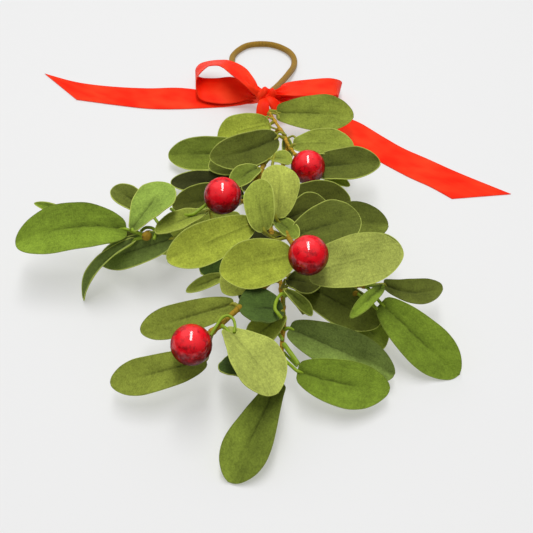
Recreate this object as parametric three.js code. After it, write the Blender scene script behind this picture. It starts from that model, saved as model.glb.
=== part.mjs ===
// Artificial mistletoe bunch, lying on a table: cloth leaves and lacquered berries on wrapped wire stems,
// a wrapped hanging loop, and a bow of satin ribbon. Millimetres, +Z up, the hanging loop towards +Y.

import * as THREE from "three";

// ---- driving dimensions -------------------------------------------------------------------------------

const berryDiameter = 14;
const berryRings = 9;
const berrySides = 14;
const ribbonThickness = 0.5;
const knotDiameter = 8.4;
const loopThickness = 2.4;
const mainStemThickness = 2;
const sideStemThickness = 2.2;
const leafThickness = 0.7;       // at the midrib; a leaf thins out to nothing at its edge
const leafCup = 8;               // how steeply a leaf's two halves rise to its edges, in degrees
const stalkThickness = 1.2;
const stalkGap = 0.5;            // between a stalk and its stem
const shortestStalk = 1.5;       // a leaf nearer its stem than this has no stalk
const stalkBend = 0.55;          // where a stalk's middle ring lies, as a share of its length
const leafHeel = 0.35;           // a blade's width where it meets its stalk, as a share of its full width
const leafWidest = 0.6;          // where a leaf is widest, as a share of its length from the base

// ---- colours and finishes -----------------------------------------------------------------------------

const finishes = {
  leaf: { color: 0x6f8f3c, roughness: 0.8, metalness: 0 },
  berry: { color: 0x9c0f18, roughness: 0.15, metalness: 0 },
  stem: { color: 0x9a6a24, roughness: 0.8, metalness: 0 },
  loop: { color: 0x7c6526, roughness: 0.85, metalness: 0 },
  ribbon: { color: 0xe8281c, roughness: 0.4, metalness: 0 },
};

const bunch = new THREE.Group();

function addPiece(name, geometry, finish) {
  const mesh = new THREE.Mesh(geometry, new THREE.MeshStandardMaterial(finishes[finish]));
  mesh.name = name;
  bunch.add(mesh);
  return mesh;
}

const point = ([x, y, z]) => new THREE.Vector3(x, y, z);
const radians = THREE.MathUtils.degToRad;

// ---- lofts: a closed skin through rings of points -----------------------------------------------------

// Each ring is a list of points, counter-clockwise seen from the end of the loft. An end is a flat cap, or
// a single point when one is given.
function loft(rings, lastPoint = null) {
  const count = rings[0].length;
  const positions = rings.flat().flatMap((p) => [p.x, p.y, p.z]);
  const index = [];
  for (let ring = 0; ring + 1 < rings.length; ring += 1) {
    for (let i = 0; i < count; i += 1) {
      const a = ring * count + i;
      const b = ring * count + ((i + 1) % count);
      index.push(a, b, b + count, a, b + count, a + count);
    }
  }
  const last = (rings.length - 1) * count;
  for (let i = 1; i + 1 < count; i += 1) {
    index.push(0, i + 1, i);
    if (!lastPoint) index.push(last, last + i, last + i + 1);
  }
  if (lastPoint) {
    positions.push(lastPoint.x, lastPoint.y, lastPoint.z);
    for (let i = 0; i < count; i += 1) index.push(last + i, last + ((i + 1) % count), last + count);
  }
  const geometry = new THREE.BufferGeometry();
  geometry.setAttribute("position", new THREE.Float32BufferAttribute(positions, 3));
  geometry.setIndex(index);
  return geometry;
}

// ---- stems and the hanging loop: tubes along a curve --------------------------------------------------

const stems = [];
const placesOnStem = 60;

function addTube(name, route, thickness, finish, { sides = 6, steps = 8 } = {}) {
  const path = new THREE.CatmullRomCurve3(route.map(point), false, "centripetal");
  const outline = new THREE.Shape();
  for (let side = 0; side < sides; side += 1) {
    const turn = (side / sides) * 2 * Math.PI;
    const corner = [(thickness / 2) * Math.cos(turn), (thickness / 2) * Math.sin(turn)];
    if (side) outline.lineTo(...corner);
    else outline.moveTo(...corner);
  }
  outline.closePath();
  const tube = new THREE.ExtrudeGeometry(outline, { extrudePath: path, steps, bevelEnabled: false });
  addPiece(name, tube, finish);
  return path;
}

function addStem(name, route, thickness) {
  stems.push({ path: addTube(name, route, thickness, "stem"), thickness });
}

// Where a leaf's stalk starts: beside the nearest stem, at the place nearest to the blade's base.
function stalkStart(base) {
  const from = point(base);
  let best = { distance: Infinity };
  for (const { path, thickness } of stems) {
    for (const place of path.getPoints(placesOnStem)) {
      const distance = place.distanceTo(from) - thickness / 2;
      if (distance < best.distance) best = { distance, place, thickness };
    }
  }
  const towards = from.clone().sub(best.place).normalize();
  return best.place.clone().addScaledVector(towards, (best.thickness + stalkThickness) / 2 + stalkGap);
}

// ---- leaves -------------------------------------------------------------------------------------------

const bladeStations = [0.02, 0.12, 0.26, 0.42, 0.58, 0.72, 0.84, 0.94];
const acrossTop = [-1, -0.5, 0, 0.5, 1];
const acrossUnder = [0.5, 0, -0.5];
const ringCorners = acrossTop.length + acrossUnder.length;
const tipRoundness = 0.55;       // the lower, the blunter the tip
const cupCurve = 1.5;            // 1 folds a blade along its midrib, higher rounds it

// Half width along the blade, 1 at its widest: a narrow heel at the stalk, then a full, rounded tip.
function bladeOutline(along, widest) {
  const power = Math.log(0.5) / Math.log(widest);
  const heel = leafHeel * (1 - along) ** 2;
  return heel + (1 - heel) * Math.sin(Math.PI * along ** power) ** tipRoundness;
}

// The round rings of a leaf's stalk, from beside its stem towards the blade's base.
function stalkRings(start, bladeBase, bladeFacing) {
  const towards = bladeBase.clone().sub(start);
  if (towards.length() <= shortestStalk) return [];
  const aside = new THREE.Vector3().crossVectors(towards, bladeFacing).normalize();
  const facing = new THREE.Vector3().crossVectors(aside, towards).normalize();
  return [0, stalkBend].map((share) => {
    const centre = start.clone().addScaledVector(towards, share);
    return Array.from({ length: ringCorners }, (_, corner) => {
      const turn = Math.PI - (corner / ringCorners) * 2 * Math.PI;
      return centre.clone().addScaledVector(aside, (stalkThickness / 2) * Math.cos(turn))
        .addScaledVector(facing, (stalkThickness / 2) * Math.sin(turn));
    });
  });
}

// A leaf from its stalk through the blade's base to its tip. roll turns the blade about its length, from
// facing up; arch bows it up in the middle and sway bows it sideways, by so many millimetres.
function addLeaf(name, base, tip, width, roll, { arch = 2, sway = 0, widest = leafWidest } = {}) {
  const from = point(base);
  const along = point(tip).sub(from);
  const length = along.length();
  along.normalize();
  const level = new THREE.Vector3(0, 0, 1).addScaledVector(along, -along.z).normalize();
  const facing = level.applyAxisAngle(along, radians(roll));
  const aside = new THREE.Vector3().crossVectors(along, facing);
  const spine = (share) => {
    const bow = 4 * share * (1 - share);
    return from.clone().addScaledVector(along, share * length)
      .addScaledVector(facing, arch * bow).addScaledVector(aside, sway * bow);
  };
  const rings = stalkRings(stalkStart(base), from, facing);
  for (const share of bladeStations) {
    const centre = spine(share);
    const half = Math.max((width / 2) * bladeOutline(share, widest), stalkThickness / 2);
    const edgeLift = Math.tan(radians(leafCup)) * half;
    const skin = (across, side) => {
      const thickness = (leafThickness / 2) * (1 - across * across);
      return centre.clone().addScaledVector(aside, across * half)
        .addScaledVector(facing, edgeLift * Math.abs(across) ** cupCurve + side * thickness);
    };
    const top = acrossTop.map((across) => skin(across, 1));
    const under = acrossUnder.map((across) => skin(across, -1));
    rings.push([...top, ...under]);
  }
  addPiece(name, loft(rings, spine(1)), "leaf");
}

addStem("main_stem", [[0, 94.8, 9.5], [2.5, 80, 12], [6.5, 67, 14], [9, 57, 15], [12, 48, 16.5]],
  mainStemThickness);
addStem("centre_stem", [[8.7, 58, 12.1], [6, 46, 9], [3, 34, 7.5], [1.5, 25, 7.8], [2, 10, 9],
  [4.5, -14, 11], [6, -33, 12], [5, -54, 10]], mainStemThickness);
addStem("upper_berry_stem", [[4.1, 69.5, 11.4], [0.5, 58, 10], [-3, 36, 14], [-5, 20, 17], [-11, 10, 25]],
  sideStemThickness);
addStem("middle_berry_stem", [[3.8, 24, 9.4], [4.5, 12, 15], [5.5, 0, 23], [7, -10, 27], [10, -20, 30],
  [13.1, -28, 33.7]], sideStemThickness);
addStem("lower_berry_stem", [[2.5, -19.5, 12.6], [-6, -36, 20], [-13, -49.5, 25], [-18, -56, 25.5]],
  sideStemThickness);
addStem("left_stem", [[-0.9, 18, 9.7], [-18, 4, 12], [-32, -4, 15], [-39, -7, 18.5], [-44.5, -7, 22.5]],
  sideStemThickness);
addStem("right_stem", [[7, -14, 9.8], [20, -20, 12], [29, -24, 15], [35.5, -26, 16.5]], sideStemThickness);

addTube("hanging_loop", [[-1.9, 103.8, 7.6], [-3.6, 107.5, 6.2], [-9, 117, 4.5], [-15, 129, 2.8],
  [-16.6, 138, 2], [-16, 144, 1.3],
  [-13, 149, 1.3], [-9, 152.5, 1.3], [-3, 153.7, 1.3], [2.7, 153, 1.3], [8, 149.8, 1.3], [11.7, 145.5, 1.3],
  [13.4, 140, 1.3], [13, 134, 1.4], [11, 127.4, 2.5], [8.3, 120.5, 3.5], [5, 112.5, 5], [3, 107.5, 6.5],
  [1.9, 103.8, 7.6]],
  loopThickness, "loop", { steps: 32, sides: 8 });

// ---- the leaves, sprig by sprig: blade base, blade tip, width, roll ------------------------------------

addLeaf("crown_leaf_1", [6, 86, 10.5], [38, 81, 12], 15.5, 42);
addLeaf("crown_leaf_2", [1.5, 75.5, 11.5], [-21, 71, 7], 15, -30);
addLeaf("crown_leaf_3", [4, 61, 17], [-23, 44, 18], 14.5, -45, { sway: -1.5 });
addLeaf("crown_leaf_4", [-2, 54, 10], [-24, 47, 10], 13, -20);
addLeaf("crown_leaf_5", [-7, 58, 9.5], [-42, 62, 5], 14.5, -40);
addLeaf("crown_leaf_6", [-8, 42, 6], [-40, 45.5, 4], 10, -30);
addLeaf("crown_leaf_7", [11, 54.2, 17], [36.4, 55.9, 15], 13, 20);
addLeaf("crown_leaf_8", [18, 46, 11], [46, 41, 18], 14, 30);
addLeaf("centre_leaf_1", [4, -5, 31], [4.5, 13, 40], 14, 20);
addLeaf("centre_leaf_2", [-1.4, -4, 31], [-5.4, 7.5, 36.5], 11.5, -20);
addLeaf("centre_leaf_3", [8, -1.5, 23.5], [11.6, -8.2, 22], 8.5, -20);
addLeaf("centre_leaf_4", [-3, 36, 20], [-14, 26, 18], 9, -10);
addLeaf("centre_leaf_5", [-1.2, 1.6, 25], [-1, -4.7, 23.3], 9, 0);
addLeaf("left_leaf_1", [-47.7, -7.7, 26], [-35.4, 8.9, 34], 16.5, 0);
addLeaf("left_leaf_2", [-51.5, -4.6, 24], [-93, -6.1, 18], 18.5, -30, { sway: 3 });
addLeaf("left_leaf_3", [-48, -8, 22], [-69, -18, 0], 12, 8, { arch: 4 });
addLeaf("left_leaf_4", [-35.6, -1.8, 12.5], [-63.2, -2.3, 5], 11.5, -50);
addLeaf("left_leaf_5", [-45.4, 16, 14], [-61, 25.7, 18], 9.5, -20);
addLeaf("left_leaf_6", [-9, 30, 10], [-38, 28, 6], 14, -30);
addLeaf("left_leaf_7", [-10, 16.2, 11], [-43.9, 6.2, 3], 13, -30);
addLeaf("left_leaf_8", [-22.4, 12.4, 19], [-40.8, -4.5, 20], 12, 35);
addLeaf("berry_leaf_1", [-5, -10, 32], [-35, -25, 28], 16, -40);
addLeaf("berry_leaf_2", [8.8, -17.7, 26], [-16, -31.5, 30], 17, -40);
addLeaf("berry_leaf_3", [14.3, -31, 28], [47.5, -26, 33.5], 18.5, 35, { widest: 0.55 });
addLeaf("right_leaf_1", [9.9, -10.2, 26], [34.5, 2, 24], 17, 30);
addLeaf("right_leaf_2", [6, 24, 13], [33, 20, 16], 15, 30);
addLeaf("right_leaf_3", [16, 12, 12], [47.5, 13, 10], 16, 30);
addLeaf("right_leaf_4", [40, -36, 18], [67, -54.5, 0.4], 16.5, 35);
addLeaf("right_leaf_5", [42.2, -24.5, 15.4], [64, -23.5, 13], 10, 20, { sway: 3, arch: 1 });
addLeaf("right_leaf_6", [40.5, -34.1, 24.5], [28.1, -49.5, 25], 6.5, -20);
addLeaf("right_leaf_7", [8, -43.4, 13], [43.8, -58.8, 6], 16, 30);
addLeaf("right_leaf_8", [10.4, -62.6, 13], [41.6, -65.1, 6], 16, 40, { widest: 0.55, sway: 1 });
addLeaf("right_leaf_9", [11, -23, 16], [40, -40, 11], 15, 40);
addLeaf("right_leaf_10", [32, -31, 7], [41, -45, 3], 12, 0);
addLeaf("right_leaf_11", [7.8, 7.5, 18], [23.9, 15.6, 18], 13, 20);
addLeaf("lower_leaf_1", [4.1, -68, 14], [-11.5, -98, 0], 15.5, -10, { widest: 0.68 });
addLeaf("lower_leaf_2", [-13.9, -55.2, 26], [5, -76.9, 20], 17.5, -10);
addLeaf("lower_leaf_3", [-11, -42, 24], [-43.4, -47.4, 16], 11.2, -40, { widest: 0.66 });
addLeaf("lower_leaf_4", [-20.4, -58.1, 13.5], [-52.4, -65.8, 10], 12.5, -40, { widest: 0.66 });
addLeaf("lower_leaf_5", [-9, -26, 14], [2.5, -36, 7], 13, 0);
addLeaf("lower_leaf_6", [6.1, -39.9, 17], [-6.1, -47.7, 9], 10.5, -20);
addLeaf("lower_leaf_7", [-4, -64.9, 13], [-15.3, -57.2, 12], 12, 0);
addLeaf("lower_leaf_8", [-15, -27, 22], [-28.7, -26, 13], 6, -30, { widest: 0.4 });

// ---- berries ------------------------------------------------------------------------------------------

// A berry on the end of the nearest stem, which it faces with its pole.
function addBerry(name, centre) {
  const radius = berryDiameter / 2;
  const profile = [new THREE.Vector2(0, -radius)];
  for (let turn = 1; turn < berryRings; turn += 1) {
    const angle = (turn / berryRings) * Math.PI;
    profile.push(new THREE.Vector2(radius * Math.sin(angle), -radius * Math.cos(angle)));
  }
  profile.push(new THREE.Vector2(0, radius));
  const berry = addPiece(name, new THREE.LatheGeometry(profile, berrySides), "berry");
  const ends = stems.map(({ path }) => path.getPoint(1));
  ends.sort((a, b) => a.distanceTo(point(centre)) - b.distanceTo(point(centre)));
  berry.position.copy(point(centre));
  berry.quaternion.setFromUnitVectors(new THREE.Vector3(0, 1, 0), point(centre).sub(ends[0]).normalize());
}

addBerry("berry_1", [16.7, 38.6, 18]);
addBerry("berry_2", [-16.1, 3.6, 33.2]);
addBerry("berry_3", [14.1, -33.7, 39.1]);
addBerry("berry_4", [-24.6, -61.8, 25.6]);

// ---- ribbon -------------------------------------------------------------------------------------------

// A strip of ribbon through stations, each given by the ribbon's two edges there.
function addRibbon(name, stations, steps) {
  const [farEdge, nearEdge] = [0, 1].map((side) => new THREE.CatmullRomCurve3(
    stations.map((station) => point(station[side])), false, "centripetal"));
  const rings = [];
  for (let step = 0; step <= steps; step += 1) {
    const share = step / steps;
    const far = farEdge.getPoint(share);
    const near = nearEdge.getPoint(share);
    const along = farEdge.getTangent(share).add(nearEdge.getTangent(share));
    const half = new THREE.Vector3().crossVectors(along, far.clone().sub(near)).normalize()
      .multiplyScalar(ribbonThickness / 2);
    rings.push([near.clone().sub(half), far.clone().sub(half), far.clone().add(half),
      near.clone().add(half)]);
  }
  addPiece(name, loft(rings), "ribbon");
}

addRibbon("ribbon_tail_left", [
  [[-6, 105, 4.5], [-6, 101.8, 3.5]],
  [[-18, 110, 1.4], [-18, 103.2, 0.6]],
  [[-28, 115, 0.8], [-28, 102.6, 0.35]],
  [[-41, 116, 2], [-39, 101.8, 0.35]],
  [[-55, 117, 1], [-53.5, 102, 0.35]],
  [[-74, 119.5, 0.35], [-70, 105, 0.35]],
  [[-90, 123, 0.35], [-79, 107, 0.35]],
  [[-106, 130, 0.35], [-88, 109, 0.35]],
], 20);
addRibbon("ribbon_tail_right", [
  [[6, 100, 4], [3.5, 95.5, 3.5]],
  [[15, 102, 1.2], [10, 92, 1]],
  [[27, 99, 0.4], [19, 87, 0.4]],
  [[40, 93, 0.3], [31, 82, 0.3]],
  [[51, 82, 0.25], [43, 69.5, 0.25]],
  [[60, 73, 0.25], [53, 60, 0.25]],
  [[70, 65.5, 0.25], [61, 53, 0.25]],
  [[81, 57, 0.25], [69, 47, 0.25]],
  [[102, 42.5, 0.25], [77, 39.5, 0.25]],
], 20);
addRibbon("bow_loop_left", [
  [[-4.8, 103.5, 11], [-5, 98, 12]],
  [[-6, 107, 13], [-8.3, 98.5, 14.5]],
  [[-9.4, 114, 14], [-12, 101.3, 16]],
  [[-16.4, 121, 13.5], [-16, 106.5, 16]],
  [[-22, 127, 10], [-21.7, 114, 15.5]],
  [[-27.5, 129, 8], [-27, 115.7, 14]],
  [[-31.5, 129, 6.5], [-31, 116, 12]],
  [[-33.5, 126.5, 5], [-32.5, 112.5, 9]],
  [[-31.8, 121.6, 4.4], [-31, 106.7, 3]],
  [[-24, 118.7, 5.5], [-23.6, 104, 2]],
  [[-16, 117.5, 7], [-15, 103.4, 2.5]],
  [[-9, 112, 7], [-8.4, 103, 4.5]],
  [[-4.8, 104.5, 7], [-4.8, 99.5, 6.5]],
], 36);
addRibbon("bow_loop_right", [
  [[4.9, 103, 10], [4.9, 98.2, 10]],
  [[7, 107.8, 9.5], [7.8, 97, 11]],
  [[10.2, 110.3, 9.1], [11.6, 95.6, 12]],
  [[20.3, 110.5, 10.5], [22.8, 95.6, 12]],
  [[30, 112, 10], [28.4, 97.2, 11]],
  [[35, 115, 5.5], [32.4, 101, 8]],
  [[32, 113, 2.5], [30, 98.5, 3]],
  [[22, 111, 2.2], [21, 96, 3]],
  [[13, 107, 4.5], [13, 95, 4.5]],
  [[5, 102.5, 7], [5, 97.5, 6.5]],
], 32);

// The knot: a small cushion of wrapped ribbon round the top of the stems.
const knot = addPiece("bow_knot", new THREE.SphereGeometry(knotDiameter / 2, 12, 8), "ribbon");
knot.position.set(0, 99.3, 8.6);

// ---- the bunch stands on z = 0, with its origin under its middle --------------------------------------

bunch.updateMatrixWorld(true);
const box = new THREE.Box3().setFromObject(bunch, true);
const middle = box.getCenter(new THREE.Vector3());
bunch.position.set(-middle.x, -middle.y, -box.min.z);

export default bunch;
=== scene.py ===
"""Artificial mistletoe bunch lying on a table.

The frame gives the place of every piece; this script gives each one its real form and finish: cloth leaves
on green leaf stalks, lacquered berries, wires wrapped in paper tape, a corded hanging loop and a satin bow.
"""

import itertools
import math
import random

import bmesh
import bpy
from bpy.props import FloatProperty, FloatVectorProperty, IntProperty, PointerProperty
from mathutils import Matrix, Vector, kdtree, noise


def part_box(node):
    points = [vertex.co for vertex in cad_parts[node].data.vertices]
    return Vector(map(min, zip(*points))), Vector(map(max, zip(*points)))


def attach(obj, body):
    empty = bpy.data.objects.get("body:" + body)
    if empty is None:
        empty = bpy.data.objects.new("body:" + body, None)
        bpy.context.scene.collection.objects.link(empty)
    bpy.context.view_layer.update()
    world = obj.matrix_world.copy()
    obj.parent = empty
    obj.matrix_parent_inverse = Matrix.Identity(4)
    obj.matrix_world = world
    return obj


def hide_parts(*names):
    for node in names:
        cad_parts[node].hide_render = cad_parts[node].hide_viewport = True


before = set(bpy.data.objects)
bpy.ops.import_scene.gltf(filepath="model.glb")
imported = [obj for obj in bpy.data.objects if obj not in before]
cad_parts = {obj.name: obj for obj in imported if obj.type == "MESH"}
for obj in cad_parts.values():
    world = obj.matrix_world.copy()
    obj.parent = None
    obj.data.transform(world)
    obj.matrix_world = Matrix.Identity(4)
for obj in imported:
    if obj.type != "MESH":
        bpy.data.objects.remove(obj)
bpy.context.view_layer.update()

bl_info = {
    "name": "Mistletoe Bunch",
    "version": (1, 0, 0),
    "blender": (4, 5, 0),
    "location": "View3D > Sidebar > Mistletoe",
    "description": "Dresses the mistletoe bunch in cloth, lacquer, paper tape and satin",
    "category": "Object",
}

MM = 0.001
BODY = "root"
UP = Vector((0.0, 0.0, 1.0))
WHITE = (1.0, 1.0, 1.0, 1.0)


# ---- settings -----------------------------------------------------------------------------------------

def length(name, description, default):
    """A size that is given in millimetres and kept in metres."""
    return FloatProperty(name=name, description=description, default=default * MM,
                         unit="LENGTH", precision=5)


def amount(name, description, default, **kind):
    return FloatProperty(name=name, description=description, default=default, **kind)


def colour(name, description, default):
    return FloatVectorProperty(name=name, description=description, default=default, subtype="COLOR",
                               min=0.0, max=1.0)


class LeafSettings(bpy.types.PropertyGroup):
    rows: IntProperty(name="Rows", description="Rows of faces along a blade", default=34)
    columns: IntProperty(name="Columns", description="Rows of faces across a blade", default=18)
    thickness: length("Cloth thickness", "Thickness of the leaf cloth", 0.35)
    midrib_depth: length("Midrib depth", "How deep the midrib is pressed", 0.3)
    midrib_width: length("Midrib width", "Half the width of the pressed midrib", 0.5)
    ripple: length("Edge ripple", "How far a blade's edges wave", 0.5)
    wrinkle: length("Wrinkle", "Height of the cloth's soft wrinkles", 0.32)
    stalk_radius: length("Stalk radius", "Radius of a leaf stalk", 0.6)
    # Painted shade: this nearly black tone goes on the leaves that fill the deepest gaps of the bunch.
    dusk: colour("Dusk", "The darkest leaves, deep in the bunch", (0.045, 0.050, 0.011))
    deep: colour("Deep", "Leaves low in the bunch", (0.085, 0.098, 0.012))
    dark: colour("Dark", "Most upper sides", (0.142, 0.172, 0.025))
    moss: colour("Moss", "Duller upper sides", (0.200, 0.262, 0.032))
    pine: colour("Pine", "Dark, cool upper sides", (0.068, 0.118, 0.020))
    slate: colour("Slate", "Cool upper sides", (0.190, 0.265, 0.053))
    green: colour("Green", "Fresh upper sides", (0.232, 0.342, 0.031))
    olive: colour("Olive", "Faded upper sides", (0.310, 0.372, 0.050))
    fresh: colour("Fresh", "The youngest leaves", (0.310, 0.450, 0.070))
    silver: colour("Silver", "Pale, cool under sides", (0.430, 0.490, 0.098))
    light: colour("Light", "The paler under sides", (0.410, 0.475, 0.052))
    pale: colour("Pale", "The palest under sides", (0.510, 0.570, 0.098))
    # The rim is the cut cloth's own pale edge, and partly painted light where it catches the light.
    rim: colour("Rim", "The cut edge of the cloth", (0.560, 0.640, 0.130))
    stalk: colour("Stalk", "Young leaf stalks", (0.300, 0.440, 0.022))
    old_stalk: colour("Old stalk", "Leaf stalks that have turned", (0.330, 0.330, 0.026))


class BerrySettings(bpy.types.PropertyGroup):
    dimple_depth: length("Dimple depth", "Depth of the dimple at the end of a berry", 0.16)
    dimple_radius: length("Dimple radius", "Radius of the dimple", 1.1)
    socket_depth: length("Socket depth", "How far the stem goes into a berry", 1.2)
    unevenness: length("Unevenness", "How far the lacquer strays from a true ball", 0.02)
    # Deep red and bright red make the mottling, and also the painted shade away from the light and the
    # painted light on the side that faces it.
    deep: colour("Deep red", "The lacquer where it is thick", (0.380, 0.001, 0.006))
    bright: colour("Bright red", "The lacquer where it is thin", (1.000, 0.007, 0.018))


class StemSettings(bpy.types.PropertyGroup):
    sides: IntProperty(name="Sides", description="Faces round a stem", default=14)
    pitch: length("Tape pitch", "Distance between two turns of the tape", 2.6)
    knuckle: length("Knuckle", "How far the tape stands out where a leaf is bound in", 0.35)
    knuckle_reach: length("Knuckle reach", "Half the length of such a place", 1.1)
    tape: colour("Tape", "The paper tape", (0.560, 0.325, 0.024))
    # Darker tape on the berries' stems.
    old_tape: colour("Old tape", "The darker paper tape on the berries' stems", (0.380, 0.235, 0.014))
    shade: colour("Tape shade", "The paper tape in its folds", (0.170, 0.120, 0.012))
    cord_pitch: length("Cord pitch", "Distance between two turns of the cord on the loop", 0.75)
    cord: colour("Cord", "The cord of the hanging loop", (0.410, 0.225, 0.022))
    cord_shade: colour("Cord shade", "The cord between its turns", (0.150, 0.095, 0.010))


class RibbonSettings(bpy.types.PropertyGroup):
    width: length("Ribbon width", "Width of the satin ribbon laid flat", 15.0)
    thickness: length("Ribbon thickness", "Thickness of the satin ribbon", 0.28)
    gather_reach: length("Gather reach", "How far the pleats run out from the knot", 13.0)
    pleats: amount("Pleats", "Pleats across the gathered ribbon", 2.5)
    satin: colour("Satin", "The satin ribbon", (0.990, 0.016, 0.002))
    painted_sheen: colour("Shine", "The satin ribbon where its threads catch the light", (0.980, 0.056, 0.014))
    fold: length("Fold", "Radius of a fold along the ribbon's edge", 0.6)
    knot_pleat: length("Knot pleat", "Height of the pleats round the knot", 0.42)
    knot_crease: length("Knot crease", "Depth of the slanting crease in the knot", 0.9)


class StageSettings(bpy.types.PropertyGroup):
    elevation: amount("Elevation", "Height of the camera's view above the table",
                      math.radians(45.0), subtype="ANGLE")
    distance: length("Distance", "From the camera to the point that it looks at", 394.6)
    lens: amount("Lens", "Focal length in millimetres", 68.7)
    floor_size: length("Floor size", "Side of the floor", 6000.0)
    floor: colour("Floor", "The table top", (0.49, 0.49, 0.49))
    floor_glow: amount("Floor glow", "Light that comes up through the table top", 0.34)
    room_low: amount("Room, low", "Light from low in front", 0.08)
    room_high: amount("Room, high", "Light from above and behind", 0.46)
    backdrop: amount("Backdrop", "How bright the far wall of the room looks", 0.62)
    softbox: amount("Softbox", "Power of the large softbox in watts", 1.9)
    window: amount("Window", "Power of the long bright window in watts", 6.6)


def settings(group):
    return getattr(bpy.context.scene, "mistletoe_" + group)


# ---- shader maths -------------------------------------------------------------------------------------

class Socket:
    """A node's output with arithmetic: every operator adds one Math node."""

    def __init__(self, shader, end):
        self.shader = shader
        self.end = end

    def math(self, operation, *values):
        return self.shader.node("ShaderNodeMath", {"operation": operation}, dict(enumerate(values)))

    def __add__(self, other):
        return self.math("ADD", self, other)

    def __radd__(self, other):
        return self.math("ADD", other, self)

    def __sub__(self, other):
        return self.math("SUBTRACT", self, other)

    def __rsub__(self, other):
        return self.math("SUBTRACT", other, self)

    def __mul__(self, other):
        return self.math("MULTIPLY", self, other)

    def __rmul__(self, other):
        return self.math("MULTIPLY", other, self)

    def __truediv__(self, other):
        return self.math("DIVIDE", self, other)

    def __rtruediv__(self, other):
        return self.math("DIVIDE", other, self)

    def __neg__(self):
        return self.math("MULTIPLY", self, -1.0)

    def __abs__(self):
        return self.math("ABSOLUTE", self)

    def sine(self):
        return self.math("SINE", self)

    def fraction(self):
        return self.math("FRACT", self)

    def hill(self, half_width):
        """1 where the value is 0, falling smoothly to nothing about two half widths away."""
        scaled = self / half_width
        return self.math("EXPONENT", -(scaled * scaled))

    def ramp(self, low, high):
        """0 below low and 1 above high, smooth between; low may be the higher one."""
        return self.shader.node("ShaderNodeMapRange", {"interpolation_type": "SMOOTHSTEP"},
                                {"Value": self, "From Min": low, "From Max": high})


class Nodes:
    """A node tree that nodes are added to."""

    def __init__(self, tree):
        self.tree = tree

    def node(self, kind, choices=None, values=None, output=0):
        """Adds a node, sets its choices, then links or sets its sockets; gives one output."""
        node = self.tree.nodes.new(kind)
        for name, choice in (choices or {}).items():
            setattr(node, name, choice)
        for name, value in (values or {}).items():
            if isinstance(value, Socket):
                self.tree.links.new(value.end, node.inputs[name])
            else:
                node.inputs[name].default_value = value
        return Socket(self, node.outputs[output])

    def map(self):
        """The piece's own map: two distances in millimetres along and across the cloth, tape or cord."""
        return self.node("ShaderNodeUVMap", {"uv_map": "UVMap"})

    def parts(self, vector):
        return [self.node("ShaderNodeSeparateXYZ", {}, {0: vector}, output) for output in (0, 1, 2)]

    def attribute(self, name, output="Fac"):
        return self.node("ShaderNodeAttribute", {"attribute_name": name}, {}, output)

    def noise(self, place, scale, detail=2.0, roughness=0.5):
        return self.node("ShaderNodeTexNoise", {"noise_dimensions": "3D"},
                         {"Vector": place, "Scale": scale, "Detail": detail, "Roughness": roughness})

    def drawn_noise(self, place, factors, detail=2.0, roughness=0.5):
        """Noise drawn out in the directions whose factors are small."""
        place = self.node("ShaderNodeVectorMath", {"operation": "MULTIPLY"}, {0: place, 1: factors})
        return self.noise(place, 1.0, detail, roughness)

    def scaled(self, tint, factor):
        return self.node("ShaderNodeVectorMath", {"operation": "SCALE"}, {0: tint, "Scale": factor})

    def mix(self, share, first, second):
        return self.node("ShaderNodeMix", {"data_type": "RGBA"}, {0: share, 6: first, 7: second}, 2)

    def bump(self, height, distance, strength=1.0):
        return self.node("ShaderNodeBump", {},
                         {"Height": height, "Distance": distance, "Strength": strength})


class Shader(Nodes):
    """A material's node tree round one Principled shader."""

    def __init__(self, name, **constants):
        self.material = bpy.data.materials.new(name)
        self.material.use_nodes = True
        super().__init__(self.material.node_tree)
        self.surface = self.tree.nodes["Principled BSDF"]
        for socket, value in constants.items():
            self.surface.inputs[socket.replace("_", " ")].default_value = value

    def feed(self, **values):
        """Links values to the Principled shader's sockets, named with _ for a space."""
        for name, value in values.items():
            self.tree.links.new(value.end, self.surface.inputs[name.replace("_", " ")])
        return self.material


def opaque(tint):
    return (*tint, 1.0)


made_materials = {}


def material(name, make, *details):
    """A finish is made once, under its name, and then shared."""
    if name not in made_materials:
        made_materials[name] = make(name, *details)
    return made_materials[name]


# ---- finishes -----------------------------------------------------------------------------------------

LEAF_THREADS = 2 * math.pi / 0.55        # a leaf's threads lie 0.55 mm apart
SATIN_THREADS = 2 * math.pi / 0.4        # and the ribbon's 0.4 mm


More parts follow.
